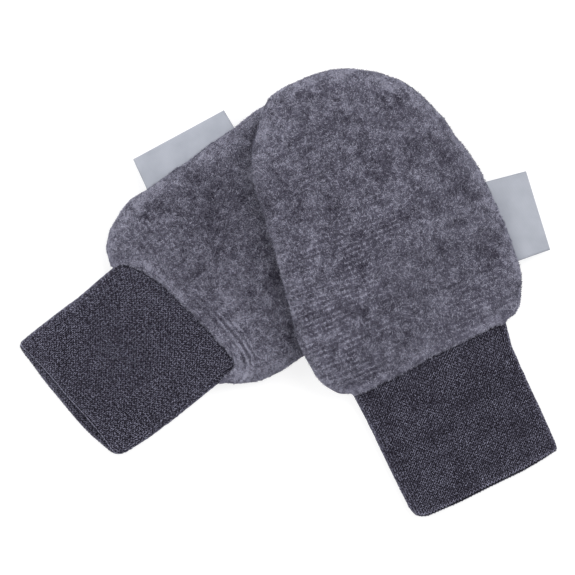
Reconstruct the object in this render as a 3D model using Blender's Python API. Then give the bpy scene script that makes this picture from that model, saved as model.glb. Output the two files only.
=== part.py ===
"""A pair of thumbless baby mittens, laid flat with one mitten over the other.

Each mitten is a front and a back panel of brushed fleece, a cuff tube of jersey folded double at its
mouth, and a folded satin label caught in one side seam. A mitten is drawn in its own frame, in mm:
x across, y along from the middle of the cuff's mouth to the fingertips, z up from the surface.
"""

import math

import bmesh
import bpy
import numpy as np

MM = 0.001

# Cloth, mm
FLEECE = 3.2              # wall of the hand, pile included
JERSEY = 1.8              # wall of the cuff: two layers of jersey
TAPE = 1.0                # the label, folded in two
SEAM_GAP = 0.3            # between two pieces at a seam

# Hand, mm
HAND_HEIGHT = 9.0         # top of the full rim above the surface
MIDDLE_SINK = 0.6         # how far the middle of the front lies below the rim
SINK_REACH = (7.0, 26.0)  # distances from the edge where the sinking starts and ends
SIDE_SEAM_HEIGHT = 4.4    # the seam between front and back
SEAM_BAND = 1.2           # upright strip of cloth either side of the side seam
FRONT_NOSE = 5.0          # distance from the edge where the front reaches its full height
BACK_NOSE = 4.0           # and where the back reaches the surface
INNER_NOSE = 1.9          # the same for the inside of both, past the wall
CUFF_ROLL = 1.5           # how far the front drops towards the cuff seam
ROLL_REACH = 7.0          # distance over which it drops
RIBS = 72                 # lines from the edge to the middle of a panel
SEAM_RIBS = 8             # how many of them still follow the bend of the cuff seam
NOSE_ANGLES = (0.0, 0.0, 21.0, 40.0, 60.0, 75.0, 90.0)
INNER_STEPS = (-1.47, -1.47, -1.16, -0.63, 0.0, 0.35, 1.0)  # less than 0: across the seam's face
MIDDLE_STEPS = (0.15, 0.35, 0.6, 0.8, 1.0)

# Cuff, mm
MOUTH_HEIGHT = 4.6        # thickness of the flat tube at its mouth
CUFF_SEAM_HEIGHT = 6.0    # and where it is sewn to the hand
CUFF_ACROSS = 12          # stops along each flat side of its section
CUFF_ROUND = 3            # stops on each round side
CUFF_ALONG = (0.06, 0.2, 0.4, 0.6, 0.8, 1.0)
FOLD_ANGLES = (45.0, 90.0, 135.0)

# Label, mm
LABEL_ROOT = 2.6          # how far the label reaches into the side seam
LABEL_STATIONS = 9
LABEL_MARGIN = 1.5        # the side seam opens this far past each end of the label
LABEL_RAMP = 3.0

# The mitten on top rests on the other one
STACK_GAP = 0.5           # clear height between them
DRAPE_REACH = (2.0, -24.0)  # distance inside the lower outline at full height, and outside it at none

UPPER = {
    "name": "upper",
    "middle_of_mouth": (59.8, -56.8),
    "turn": 25.0,
    # along, left edge, right edge of the hand
    "hand": (
        (42.6, -28.9, 29.6),
        (45.2, -31.4, 32.2),
        (49.2, -32.9, 34.4),
        (55.0, -33.6, 36.4),
        (60.6, -34.1, 37.0),
        (73.0, -32.0, 37.7),
        (86.5, -29.3, 37.5),
        (97.0, -28.1, 35.6),
        (109.5, -26.0, 32.8),
        (120.2, -21.9, 27.3),
        (127.7, -15.7, 18.7),
        (131.8, -11.4, 10.2),
    ),
    "tip": (-0.6, 133.3),
    # across, along of the cuff seam
    "seam": (
        (-25.4, 41.0),
        (-21.5, 39.8),
        (-15.5, 39.8),
        (-8.0, 40.2),
        (-1.0, 41.0),
        (6.0, 41.1),
        (14.0, 40.9),
        (25.6, 41.0),
    ),
    "fan_centre": (3.0, 98.0),
    # along, left edge, right edge of the cuff
    "cuff": (
        (0.0, -24.6, 23.3),
        (12.0, -24.9, 23.5),
        (30.0, -24.9, 23.6),
        (41.0, -25.1, 25.2),
    ),
    # across the mouth, how far along its upper layer ends, and its under layer
    "mouth": (
        (-24.6, -1.4, -1.6),
        (-20.5, -1.3, -1.6),
        (-11.5, -1.4, -1.85),
        (-5.5, -1.2, -1.7),
        (5.0, -0.9, -1.4),
        (11.5, -0.8, -1.35),
        (17.0, -0.4, -0.85),
        (23.3, 0.0, -0.1),
    ),
    "mouth_corners": (3.5, 1.0),
    # label corners: side seam low, side seam high, fold low, fold high
    "label": ((36.4, 56.3), (38.1, 81.8), (46.1, 55.5), (50.2, 79.6)),
    "label_side": 1.0,
    "label_droop": 2.2,
}

LOWER = {
    "name": "lower",
    "middle_of_mouth": (-65.3, -31.4),
    "turn": -50.0,
    # None: the cuff seam reaches past this row on the right
    "hand": (
        (36.6, -27.0, None),
        (38.8, -29.1, 27.2),
        (41.4, -30.9, 29.6),
        (44.5, -32.2, 31.7),
        (47.8, -33.3, 33.2),
        (51.8, -33.9, 34.2),
        (58.0, -33.2, 35.2),
        (72.0, -32.1, 36.0),
        (85.0, -31.0, 35.3),
        (98.0, -30.2, 32.6),
        (110.0, -27.0, 29.0),
        (120.0, -21.0, 23.0),
        (127.5, -13.0, 14.5),
    ),
    "tip": (0.6, 131.6),
    "seam": (
        (-22.1, 34.6),
        (-21.1, 37.3),
        (-18.5, 39.4),
        (-14.5, 40.9),
        (-8.1, 42.3),
        (0.0, 43.4),
        (8.1, 44.2),
        (15.9, 44.7),
        (20.8, 44.5),
        (23.7, 43.8),
        (25.1, 41.9),
        (25.5, 37.5),
    ),
    "fan_centre": (1.0, 97.0),
    "cuff": (
        (0.0, -22.2, 23.4),
        (9.0, -22.4, 24.3),
        (18.6, -22.0, 24.6),
        (34.0, -21.7, 24.9),
        (44.0, -21.7, 24.9),
    ),
    "mouth": (
        (-22.2, -1.3, -1.5),
        (-19.5, -1.1, -2.0),
        (-16.0, -0.8, -2.2),
        (-8.0, -0.5, -2.65),
        (0.0, -0.5, -2.75),
        (6.0, -0.2, -2.75),
        (12.0, -0.1, -2.4),
        (16.0, -0.2, -1.8),
        (20.0, -0.6, -1.2),
        (23.4, -0.9, -0.9),
    ),
    "mouth_corners": (1.5, 3.4),
    "label":((-32.6, 57.7), (-30.9, 89.8), (-42.6, 60.4), (-36.4, 90.7)),
    "label_side": -1.0,
    "label_droop": 1.6,
}

FLEECE_GREY = (0.118, 0.118, 0.142, 1.0)
JERSEY_CHARCOAL = (0.046, 0.043, 0.061, 1.0)
SATIN_PALE = (0.485, 0.503, 0.565, 1.0)


# Curves and distances

def smoothstep(low, high, value):
    """0 at low, 1 at high, level at both."""
    t = np.clip((np.asarray(value, float) - low) / (high - low), 0.0, 1.0)
    return t * t * (3.0 - 2.0 * t)


def swell(t):
    """A quarter round: rises upright from 0 and is level at 1."""
    t = np.clip(t, 0.0, 1.0)
    return np.sqrt(1.0 - (1.0 - t) ** 2)


def smooth_path(points, per_span=16):
    """A centripetal Catmull-Rom curve through the points."""
    points = np.asarray(points, float)
    knots = np.concatenate([[0.0], np.cumsum(np.linalg.norm(np.diff(points, axis=0), axis=1) ** 0.5)])
    slopes = np.gradient(points, knots, axis=0)
    path = []
    for i in range(len(points) - 1):
        width = knots[i + 1] - knots[i]
        for t in np.arange(per_span) / per_span:
            a = 2 * t**3 - 3 * t**2 + 1
            b = t**3 - 2 * t**2 + t
            c = -2 * t**3 + 3 * t**2
            d = t**3 - t**2
            path.append(a * points[i] + b * width * slopes[i] + c * points[i + 1] + d * width * slopes[i + 1])
    path.append(points[-1])
    return np.array(path)


def evenly(path, count):
    """Points at equal distances along a path."""
    lengths = np.concatenate([[0.0], np.cumsum(np.linalg.norm(np.diff(path, axis=0), axis=1))])
    stops = np.linspace(0.0, lengths[-1], count)
    return np.column_stack([np.interp(stops, lengths, path[:, i]) for i in range(2)])


def distance_to(path, points):
    """Shortest distance from each point to a path."""
    start = path[:-1][None]
    step = np.diff(path, axis=0)[None]
    along = ((points[:, None] - start) * step).sum(2) / np.maximum((step**2).sum(2), 1e-12)
    nearest = start + np.clip(along, 0.0, 1.0)[..., None] * step
    return np.linalg.norm(points[:, None] - nearest, axis=2).min(axis=1)


def is_inside(loop, points):
    """Whether each point lies inside a closed loop."""
    x, y = points[:, 0][:, None], points[:, 1][:, None]
    x0, y0 = loop[:, 0][None], loop[:, 1][None]
    x1, y1 = np.roll(loop[:, 0], -1)[None], np.roll(loop[:, 1], -1)[None]
    spans = (y0 > y) != (y1 > y)
    crossing = x0 + (y - y0) * (x1 - x0) / np.where(y1 == y0, 1e-12, y1 - y0)
    return (spans & (x < crossing)).sum(axis=1) % 2 == 1


def turned(points, degrees):
    """Points turned about the origin."""
    angle = math.radians(degrees)
    c, s = math.cos(angle), math.sin(angle)
    return points @ np.array([[c, s], [-s, c]])


# The outlines of a mitten

def hand_edge(mitten):
    """The side seam's line in plan, from the left end of the cuff seam round the tip to the right."""
    left = [(row[1], row[0]) for row in mitten["hand"]]
    right = [(row[2], row[0]) for row in reversed(mitten["hand"]) if row[2] is not None]
    return smooth_path([mitten["seam"][0]] + left + [mitten["tip"]] + right + [mitten["seam"][-1]])


def seam_along(mitten, across, gap=0.0):
    """How far along the cuff seam lies, at a place across the mitten, or a line a gap short of it."""
    path = smooth_path(mitten["seam"])
    heading = np.gradient(path, axis=0)
    heading /= np.linalg.norm(heading, axis=1)[:, None]
    path = path + gap * np.column_stack([heading[:, 1], -heading[:, 0]])
    return np.interp(across, path[:, 0], path[:, 1])


def drape(mitten, points):
    """How far the other mitten lifts this one, at points in its own frame."""
    if mitten is LOWER:
        return np.zeros(len(points))
    on_surface = turned(points, UPPER["turn"]) + np.array(UPPER["middle_of_mouth"])
    in_lower = turned(on_surface - np.array(LOWER["middle_of_mouth"]), -LOWER["turn"])
    edge = evenly(hand_edge(LOWER), 3 * RIBS)
    depth = distance_to(edge, in_lower) * np.where(is_inside(edge, in_lower), 1.0, -1.0)
    return (HAND_HEIGHT + STACK_GAP) * smoothstep(DRAPE_REACH[1], DRAPE_REACH[0], depth)


# Hand panels

def rib_lines(mitten):
    """Start on the edge and end on the middle line, for each rib of a hand panel."""
    starts = evenly(hand_edge(mitten), RIBS + 1)
    centre = np.array(mitten["fan_centre"])
    foot = np.array([0.0, float(seam_along(mitten, 0.0))])
    side_ribs = int(np.argmax(starts[:, 1] > centre[1]))
    step = np.minimum(np.minimum(np.arange(RIBS + 1), RIBS - np.arange(RIBS + 1)) / side_ribs, 1.0)
    return starts, foot + step[:, None] * (centre - foot)


def seam_bend(mitten, across, follow):
    """How far a rib bends away from a straight line, to follow the cuff seam."""
    ends = (mitten["seam"][0], (0.0, float(seam_along(mitten, 0.0))), mitten["seam"][-1])
    chord = np.interp(across, [end[0] for end in ends], [end[1] for end in ends])
    return follow * (seam_along(mitten, across) - chord)


def skin_plan(mitten, nose, steps):
    """Plan positions of a panel's skin: one row of points for each rib, edge first."""
    starts, ends = rib_lines(mitten)
    rows = []
    for i, (start, end) in enumerate(zip(starts, ends)):
        length = np.linalg.norm(end - start)
        rim = nose[0] + (nose[1] - nose[0]) * np.asarray(steps)
        stops = np.concatenate([rim, nose[1] + (length - nose[1]) * np.asarray(MIDDLE_STEPS)])
        row = start + (stops / length)[:, None] * (end - start)
        follow = 1.0 - smoothstep(0.0, SEAM_RIBS, min(i, RIBS - i))
        row[:, 1] += seam_bend(mitten, row[:, 0], follow)
        rows.append(row)
    return np.array(rows)


def seam_half_gap(mitten, starts):
    """Half the height that the side seam stands open, wider where the label is caught in it."""
    low, high = mitten["label"][0][1], mitten["label"][1][1]
    along = starts[:, 1]
    window = smoothstep(low - LABEL_MARGIN - LABEL_RAMP, low - LABEL_MARGIN, along)
    window = window * (1.0 - smoothstep(high + LABEL_MARGIN, high + LABEL_MARGIN + LABEL_RAMP, along))
    window = np.where(starts[:, 0] * mitten["label_side"] > 0.0, window, 0.0)
    return SEAM_GAP / 2.0 + window * (TAPE + SEAM_GAP) / 2.0


def front_level(edge_distance, seam_distance):
    """Height of the front's outer skin away from its nose."""
    sink = MIDDLE_SINK * smoothstep(SINK_REACH[0], SINK_REACH[1], edge_distance)
    roll = CUFF_ROLL * (1.0 - smoothstep(0.0, ROLL_REACH, seam_distance))
    return HAND_HEIGHT - np.maximum(sink, roll)


def skin_heights(mitten, plan, half_gap, side, inner):
    """Heights of one skin of a hand panel."""
    flat = plan.reshape(-1, 2)
    edge_distance = distance_to(evenly(hand_edge(mitten), 3 * RIBS), flat).reshape(plan.shape[:2])
    seam_distance = distance_to(smooth_path(mitten["seam"]), flat).reshape(plan.shape[:2])
    seam = SIDE_SEAM_HEIGHT + side * half_gap[:, None]
    if side > 0:
        level = front_level(edge_distance, seam_distance) - (FLEECE if inner else 0.0)
    else:
        level = np.full(plan.shape[:2], FLEECE if inner else 0.0)
    if inner:
        return seam + (level - seam) * swell((edge_distance - FLEECE) / INNER_NOSE)
    band = SIDE_SEAM_HEIGHT + side * SEAM_BAND
    heights = band + (level - band) * swell(edge_distance / (FRONT_NOSE if side > 0 else BACK_NOSE))
    heights[:, 0] = seam[:, 0]
    return heights


def hand_panel(mitten, side):
    """One fleece panel: its outer and inner skins, joined along the side seam and the cuff seam."""
    half_gap = seam_half_gap(mitten, rib_lines(mitten)[0])
    nose = FRONT_NOSE if side > 0 else BACK_NOSE
    outer_steps = [1.0 - math.cos(math.radians(angle)) for angle in NOSE_ANGLES]
    skins = []
    for inner in (False, True):
        if inner:
            plan = skin_plan(mitten, (FLEECE, FLEECE + INNER_NOSE), INNER_STEPS)
        else:
            plan = skin_plan(mitten, (0.0, nose), outer_steps)
        heights = skin_heights(mitten, plan, half_gap, side, inner)
        lift = drape(mitten, plan.reshape(-1, 2)).reshape(heights.shape)
        skins.append(np.dstack([plan, heights + lift]))
    return panel_mesh(skins[0], skins[1])


def panel_mesh(outer, inner):
    """A closed mesh from two skins with the same rows and stops."""
    bm = bmesh.new()
    rows, stops = outer.shape[:2]
    skins = [[[bm.verts.new(point * MM) for point in row] for row in skin] for skin in (outer, inner)]
    for skin in skins:
        for i in range(rows - 1):
            for k in range(stops - 1):
                bm.faces.new((skin[i][k], skin[i + 1][k], skin[i + 1][k + 1], skin[i][k + 1]))
    front, back = skins
    for i in range(rows - 1):
        bm.faces.new((front[i][0], front[i + 1][0], back[i + 1][0], back[i][0]))
    for i in (0, rows - 1):
        for k in range(stops - 1):
            bm.faces.new((front[i][k], front[i][k + 1], back[i][k]))
            bm.faces.new((front[i][k + 1], back[i][k + 1], back[i][k]))
    return bm


# Cuffs

def flat_tube(left, right, height, inset):
    """Section of a flat tube with round sides, moved in by inset: across and height of each stop."""
    radius = height / 2.0
    stops = (1.0 - np.cos(np.linspace(0.0, math.pi, CUFF_ACROSS))) / 2.0
    across = left + radius + stops * (right - left - 2.0 * radius)
    arc = np.radians(np.linspace(90.0, -90.0, CUFF_ROUND + 2)[1:-1])
    reach = radius - inset
    top = np.column_stack([across, np.full(CUFF_ACROSS, height - inset)])
    side = np.column_stack([right - radius + reach * np.cos(arc), radius + reach * np.sin(arc)])
    bottom = np.column_stack([across[::-1], np.full(CUFF_ACROSS, inset)])
    other = np.column_stack([left + radius - reach * np.cos(arc), radius - reach * np.sin(arc)])
    return np.vstack([top, side, bottom, other])


def mouth_along(mitten, across, below):
    """Where the mouth's edge lies: rounded at its corners, the under layer a little longer."""
    rows = smooth_path(mitten["mouth"])
    upper, under = (np.interp(across, rows[:, 0], rows[:, i]) for i in (1, 2))
    line = upper + below * (under - upper)
    left, right = mitten["cuff"][0][1:]
    for edge, radius in zip((across - left, right - across), mitten["mouth_corners"]):
        rest = radius - np.clip(edge, 0.0, radius)
        line += radius - np.sqrt(radius**2 - rest**2)
    return line


def cuff_ring(mitten, share, inset, ahead):
    """One ring of the cuff's wall: share of the way to the seam, depth in the wall, and a step ahead."""
    table = np.array(mitten["cuff"])
    length = float(seam_along(mitten, 0.0))
    along = share * length
    left, right = (np.interp(along, table[:, 0], table[:, i]) for i in (1, 2))
    height = MOUTH_HEIGHT + (CUFF_SEAM_HEIGHT - MOUTH_HEIGHT) * float(smoothstep(0.3, 1.0, share))
    section = flat_tube(left, right, height, inset)
    below = np.clip((height / 2.0 - section[:, 1]) / (height / 2.0 - JERSEY), 0.0, 1.0)
    start = mouth_along(mitten, section[:, 0], below)
    end = seam_along(mitten, section[:, 0], SEAM_GAP)
    y = start + share * (end - start) + ahead
    plan = np.column_stack([section[:, 0], y])
    return np.column_stack([plan, section[:, 1] + drape(mitten, plan)])


def cuff_mesh(mitten):
    """The cuff: a wall of two layers, round at the fold of its mouth, open into the hand."""
    fold = JERSEY / 2.0
    outer = [(share, 0.0, 0.0) for share in reversed(CUFF_ALONG)]
    turn = []
    for angle in FOLD_ANGLES:
        a = math.radians(angle)
        turn.append((0.0, fold * (1.0 - math.cos(a)), fold * (1.0 - math.sin(a))))
    inner = [(share, JERSEY, 0.0) for share in CUFF_ALONG]
    rings = [cuff_ring(mitten, *stop) for stop in outer + turn + inner]
    bm = bmesh.new()
    loops = [[bm.verts.new(point * MM) for point in ring] for ring in rings]
    for a, b in zip(loops, loops[1:] + loops[:1]):
        for k in range(len(a)):
            n = (k + 1) % len(a)
            bm.faces.new((a[k], a[n], b[n], b[k]))
    return bm


# Labels

def label_section(mitten, share):
    """The folded tape cut across, at a share of the way up the side seam."""
    low_root, high_root, low_fold, high_fold = (np.array(corner) for corner in mitten["label"])
    root = low_root + share * (high_root - low_root)
    fold = low_fold + share * (high_fold - low_fold)
    outward = (fold - root) / np.linalg.norm(fold - root)
    root = root - LABEL_ROOT * outward
    reach = float(np.linalg.norm(fold - root))
    radius = TAPE / 2.0
    arc = np.radians(np.linspace(-90.0, 90.0, 5))
    out = np.array([0.0, LABEL_ROOT, (LABEL_ROOT + reach) / 2.0])
    distance = np.concatenate([out, reach - radius + radius * np.cos(arc), out[::-1]])
    offset = np.concatenate([[-radius] * 3, radius * np.sin(arc), [radius] * 3])
    plan = root + distance[:, None] * outward
    droop = mitten["label_droop"] * smoothstep(LABEL_ROOT, 1.25 * reach, distance)
    return np.column_stack([plan, SIDE_SEAM_HEIGHT - droop + offset + drape(mitten, plan)])


def label_mesh(mitten):
    """The label, lofted along the side seam."""
    bm = bmesh.new()
    rings = [[bm.verts.new(point * MM) for point in label_section(mitten, share)]
             for share in np.linspace(0.0, 1.0, LABEL_STATIONS)]
    for a, b in zip(rings, rings[1:]):
        for k in range(len(a)):
            n = (k + 1) % len(a)
            bm.faces.new((a[k], a[n], b[n], b[k]))
    bm.faces.new(rings[0])
    bm.faces.new(rings[-1])
    return bm


# The scene

def material(name, colour, roughness):
    made = bpy.data.materials.new(name)
    made.use_nodes = True
    shader = made.node_tree.nodes["Principled BSDF"]
    shader.inputs["Base Color"].default_value = colour
    shader.inputs["Roughness"].default_value = roughness
    shader.inputs["Metallic"].default_value = 0.0
    return made


def add_piece(name, bm, parent, collection, colour, roughness):
    """An object with its own material, from a closed mesh."""
    bmesh.ops.remove_doubles(bm, verts=bm.verts, dist=1e-7)
    bmesh.ops.triangulate(bm, faces=bm.faces)
    bmesh.ops.recalc_face_normals(bm, faces=bm.faces)
    mesh = bpy.data.meshes.new(name)
    bm.to_mesh(mesh)
    bm.free()
    mesh.shade_smooth()
    mesh.set_sharp_from_angle(angle=math.radians(50.0))
    mesh.materials.append(material(name, colour, roughness))
    piece = bpy.data.objects.new(name, mesh)
    piece.parent = parent
    collection.objects.link(piece)


def add_mitten(mitten, collection):
    """A mitten's four pieces, on an empty that stands at the middle of its mouth."""
    name = mitten["name"]
    place = bpy.data.objects.new(name + "_place", None)
    x, y = mitten["middle_of_mouth"]
    place.location = (x * MM, y * MM, 0.0)
    place.rotation_euler = (0.0, 0.0, math.radians(mitten["turn"]))
    collection.objects.link(place)
    add_piece(name + "_hand_front", hand_panel(mitten, 1.0), place, collection, FLEECE_GREY, 0.95)
    add_piece(name + "_hand_back", hand_panel(mitten, -1.0), place, collection, FLEECE_GREY, 0.95)
    add_piece(name + "_cuff", cuff_mesh(mitten), place, collection, JERSEY_CHARCOAL, 0.85)
    add_piece(name + "_label", label_mesh(mitten), place, collection, SATIN_PALE, 0.4)


def main():
    for leftover in list(bpy.data.objects):
        bpy.data.objects.remove(leftover)
    collection = bpy.data.collections.new("baby_mittens")
    bpy.context.scene.collection.children.link(collection)
    for mitten in (LOWER, UPPER):
        add_mitten(mitten, collection)
    bpy.context.view_layer.update()


main()
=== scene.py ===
"""A pair of baby mittens, laid flat with one over the other: fuzzy fleece, knitted jersey, satin.

A mitten is drawn in its own frame, in mm: x across, y along from the middle of the cuff's mouth to
the fingertips, z up from the surface. in_frame turns and moves its points, and gives them in metres.
"""

import math
from types import SimpleNamespace

import bmesh
import bpy
import numpy as np
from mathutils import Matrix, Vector


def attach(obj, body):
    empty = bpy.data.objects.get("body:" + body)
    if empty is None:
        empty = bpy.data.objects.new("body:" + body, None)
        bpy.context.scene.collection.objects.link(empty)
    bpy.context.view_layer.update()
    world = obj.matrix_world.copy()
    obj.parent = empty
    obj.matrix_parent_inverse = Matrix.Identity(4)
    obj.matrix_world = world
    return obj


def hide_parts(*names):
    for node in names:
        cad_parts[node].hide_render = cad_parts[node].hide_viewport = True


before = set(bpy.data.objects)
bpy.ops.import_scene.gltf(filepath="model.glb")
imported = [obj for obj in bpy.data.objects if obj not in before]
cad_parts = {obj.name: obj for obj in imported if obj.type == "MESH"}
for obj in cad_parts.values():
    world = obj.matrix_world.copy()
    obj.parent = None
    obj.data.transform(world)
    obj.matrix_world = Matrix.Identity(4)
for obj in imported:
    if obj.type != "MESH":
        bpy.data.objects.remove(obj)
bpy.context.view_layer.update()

MM = 0.001
TOUCHING = 1e-7  # m, points this close are one
MAP = "OFBake"

# Cloth, mm
FLEECE_SHELL = 1.1  # the knitted ground of the fleece
PILE = 0.45  # how far the ground lies below the outside of the pile
PILE_REACH = 0.42  # how far the pile stands past the side seam
JERSEY = 1.8  # wall of the cuff: two layers
JERSEY_SHELL = 0.5  # the layer that the stitches stand on
STITCH_HEIGHT = 0.24
TAPE = 1.0  # the label, folded in two
TAPE_LAYER = 0.36
SEAM_GAP = 0.3

# Hand, mm
HAND_HEIGHT = 9.0
MIDDLE_SINK = 0.6
SINK_REACH = (7.0, 26.0)
SIDE_SEAM_HEIGHT = 4.4
SEAM_BAND = 1.2
FRONT_NOSE = 5.0
BACK_NOSE = 4.0
CUFF_ROLL = 1.5
ROLL_REACH = 7.0
LIP_DROP = 1.5  # the fleece turns down over the cuff seam
LIP_REACH = 2.4
LIP_RISE = 0.55  # to just above the cuff
HUG_GAP = 0.5  # the fleece follows the cuff's round sides at this distance
HUG_MARGIN = 0.3  # but stays this far above the side seam's band
HUG_SIDE = 1.5  # wholly where the cuff stands this far below its top
HUG_REACH = 5.0
TURN_IN = ((0.9, 0.04), (0.6, 0.12), (0.3, 0.4), (0.08, 0.8))  # in from the edge, off the seam
RIM_WOBBLE = 0.3  # unevenness of the outline
RIM_LUMP = 4.5
END_EASE = 6.0  # the side seam comes out to the cuff seam's ends over this
FREE_REACH = 3.0  # the ground is smooth on the edge and lumpy from here on
CORNER_INSIDE = 7.0  # normals near a cuff seam's end point away from this far inside
CORNER_REACH = (2.0, 4.5)  # where they do so wholly, and no more
CORNER_CALM = (0.5, 4.0)  # and the ground is thin and smooth this near the end

# Stops of the grids, points of the outlines
RIBS = 320
SEAM_RIBS = 36
NOSE_STOPS = 13
MIDDLE_STOPS = 40
BACK_RIBS = 220
BACK_MIDDLE_STOPS = 16
EDGE_POINTS = 170
SEAM_POINTS = 120
AT_ONCE = 4000  # in one step, to spare memory

# Knit rows that show through the felt along the cuff seam, mm
SEAM_ROW = 1.68
ROW_HEIGHT = 0.45
ROW_REACH = (1.6, 2.4, 4.5, 9.5)  # from the seam: none, first ridge, still clear, none again
# ridges painted lighter and grooves darker: painted light and shade over the rows' relief
ROW_LIGHT = 0.26

# Knit rows and stitch holes that show through the felt elsewhere, mm
FELT_ROW = 1.57
FELT_WALE = 1.5
FELT_TURN = 3.0  # degrees from straight across
# how much lighter the rows are painted, and how much darker the stitch holes: painted shade in the holes
FELT_LIGHT = 0.45
HOLE_DEPTH = 0.45

# Noise: amount, size of its lumps in mm, own seed
LIP_UNEVEN = ((0.22, 2.6, 7), (0.14, 1.1, 8))
LUMPS = ((0.2, 9.0, 9), (0.16, 3.2, 10), (0.14, 1.5, 11))
ROW_DRIFT = ((0.12, 6.0, 20), (0.06, 2.0, 22))
ROW_WEAR = ((0.4, 6.0, 21),)
ROLL_UNEVEN = ((0.5, 4.5, 23),)
FELT_DRIFT = ((0.22, 8.0, 30), (0.07, 2.5, 31))
WALE_DRIFT = ((0.3, 4.0, 32),)
FELT_WEAR = ((0.9, 3.5, 33),)
CUFF_UNEVEN = ((0.08, 7.0, 41),)
FIBRE_SWIRL = ((2.4, 4.0, 51), (1.6, 1.4, 52))
HEATHER = ((0.08, 5.0, 72),)
MELANGE = ((0.08, 14.0, 0), (0.1, 5.5, 1), (0.16, 2.4, 2), (0.18, 1.2, 3), (0.2, 0.6, 4))

# Shades of the fleece, 0 dark to 1 light
# the ground is painted darker than its pile: painted shade in the gaps between fibres
GROUND_SHADE = 0.53
PILE_SHADE = 0.582
FIBRE_SHADES = (-0.42, 0.35)
# painted highlight along the fleece's edges and on the roll at the cuff
RIM_LIGHT = 0.21
RIM_LIGHT_REACH = (0.2, 6.5)
ROLL_LIGHT_REACH = (1.0, 3.2)
# painted shade: the painted rim highlight is mostly left out where the rim lies over the other mitten
OVER_SHADE = 0.85  # share of the rim's light lost over the other mitten
OVER_REACH = (-2.0, 4.0)

# Pile, mm and degrees
FIBRE_LENGTH = (0.45, 1.3)
FIBRE_WIDTH = (0.085, 0.238)
FIBRE_RISE = (6.0, 42.0)  # at the root
FIBRE_FALL = (-25.0, 15.0)  # and towards the tip
FIBRE_TWIST = 50.0
FIBRE_TURN = 1.2  # radians
FIBRE_BEND = 0.5  # radians, from root to tip
FRINGE_REACH = 1.0  # fibres this near the cuff seam hang over the cuff
FRINGE_HANG = (1.1, -0.3)  # towards the cuff, and down
ROW_COMB = 2.5  # how strongly fibres follow the knit rows
LOWEST = 0.08  # no fibre comes nearer to the surface
PROBE = (0.31, 0.17, 0.93)  # a direction that no skin faces exactly

# Cuff, mm
MOUTH_HEIGHT = 4.6
CUFF_SEAM_HEIGHT = 6.0
CUFF_SWELL = (0.3, 1.0)  # shares of its length between which it grows from one to the other
CUFF_ACROSS = 56
CUFF_ROUND = 9
CUFF_ALONG = 46
FOLD_STOPS = 9
FOLD_SHARE = 0.03  # the fold's round ends this far along the cuff
INSIDE_SHARE = 0.5  # and the tube's inside is modelled this far
INSIDE_STOPS = 12
WALE = 1.01  # width of a stitch
COURSE = 0.95  # height of a stitch
STITCHES_INSIDE = 9.0  # how far they go past the fold

# Label, mm
LABEL_ROOT = 2.6  # held in the side seam
LABEL_ALONG = 40
LABEL_OUT = 16
LABEL_ROUND = 9
LABEL_WAVE = 0.18

# The mitten on top rests on the other one
STACK_GAP = 0.5
DRAPE_REACH = (2.0, -24.0)

UPPER = SimpleNamespace(
    name="upper",
    middle_of_mouth=(59.8, -56.8),
    turn=25,
    # along, left edge, right edge of the hand
    hand=(
        (42.6, -28.9, 29.6), (45.2, -31.4, 32.2), (49.2, -32.9, 34.4), (55, -33.6, 36.4),
        (60.6, -34.1, 37), (73, -32, 37.7), (86.5, -29.3, 37.5), (97, -28.1, 35.6),
        (109.5, -26, 32.8), (120.2, -21.9, 27.3), (127.7, -15.7, 18.7), (131.8, -11.4, 10.2),
    ),
    tip=(-0.6, 133.3),
    # across, along of the cuff seam
    seam=(
        (-25.6, 41.7), (-21.5, 41), (-15.5, 41.1), (-8, 41.1), (-1, 42),
        (6, 42.1), (14, 42.2), (19, 42.5), (25.6, 41.9),
    ),
    # across, how far the fleece reaches over the cuff
    overlap=((-26, 1.1), (26, 1.1)),
    fan_centre=(3, 98),
    # along, left edge, right edge of the cuff
    cuff=(
        (0, -24.5, 23.5), (12, -24.85, 23.75), (27, -24.95, 23.75), (34, -25.15, 23.95),
        (42, -25.5, 25.3),
    ),
    # across the mouth, where its upper layer ends, and its under layer
    mouth=(
        (-24.6, -1.5, -1.7), (-20.5, -1.4, -1.75), (-11.5, -1.5, -2.05), (-5.5, -1.3, -1.9),
        (5, -1.1, -1.7), (11.5, -1, -1.6), (17, -0.6, -1.1), (23.5, 0, -0.1),
    ),
    mouth_corners=(4.8, 1),
    # label corners: side seam low, side seam high, fold low, fold high
    label=((36.4, 56.3), (38.1, 81.8), (46.5, 55.3), (49.9, 79.7)),
    label_droop=2.2,
    # across, how strongly the knit rows show at the cuff seam
    rows=((-26, 0.75), (-15, 0.6), (-6, 0.25), (10, 0.2), (26, 0.35)),
    # lighter and darker felt: partly the felt's own mottling, partly painted light along its rims; across,
    # along, radius, shade
    mottle_and_shade=(
        (-18, 112, 15, 0.07), (4, 122, 12, 0.04), (-24, 91, 8, 0.08),
        (-12, 45, 7, 0.03), (8, 54, 7, -0.05), (24, 60, 8, -0.03),
        (-25, 48, 11, 0.16), (-16, 118, 8, 0.06), (0, 49, 14, 0.092),
        (32, 88, 10, 0.07),
    ),
    # how much lighter the right leg of a stitch is painted, a painted highlight on the leg that faces the
    # light; the yarn's shade, how much that varies
    leg_light=0.05,
    yarn=0.487,
    flecks=0.34,
    # from the middle of a stitch to each leg, and how much lighter the roll at the cuff seam is painted, a
    # painted highlight
    leg_apart=0.24,
    roll_light=0.12,
    # where the knit shows through: across, along, radius, how clearly
    felt=(
        (-22, 50, 15, 0.9), (-21, 74, 15, 1), (-4, 80, 11, 0.5),
        (18, 50, 13, 0.7), (12, 88, 10, 0.4), (0, 114, 16, 0.35),
    ),
    rests_on=["lower_hand_front"],
    seed=100,
)

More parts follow.
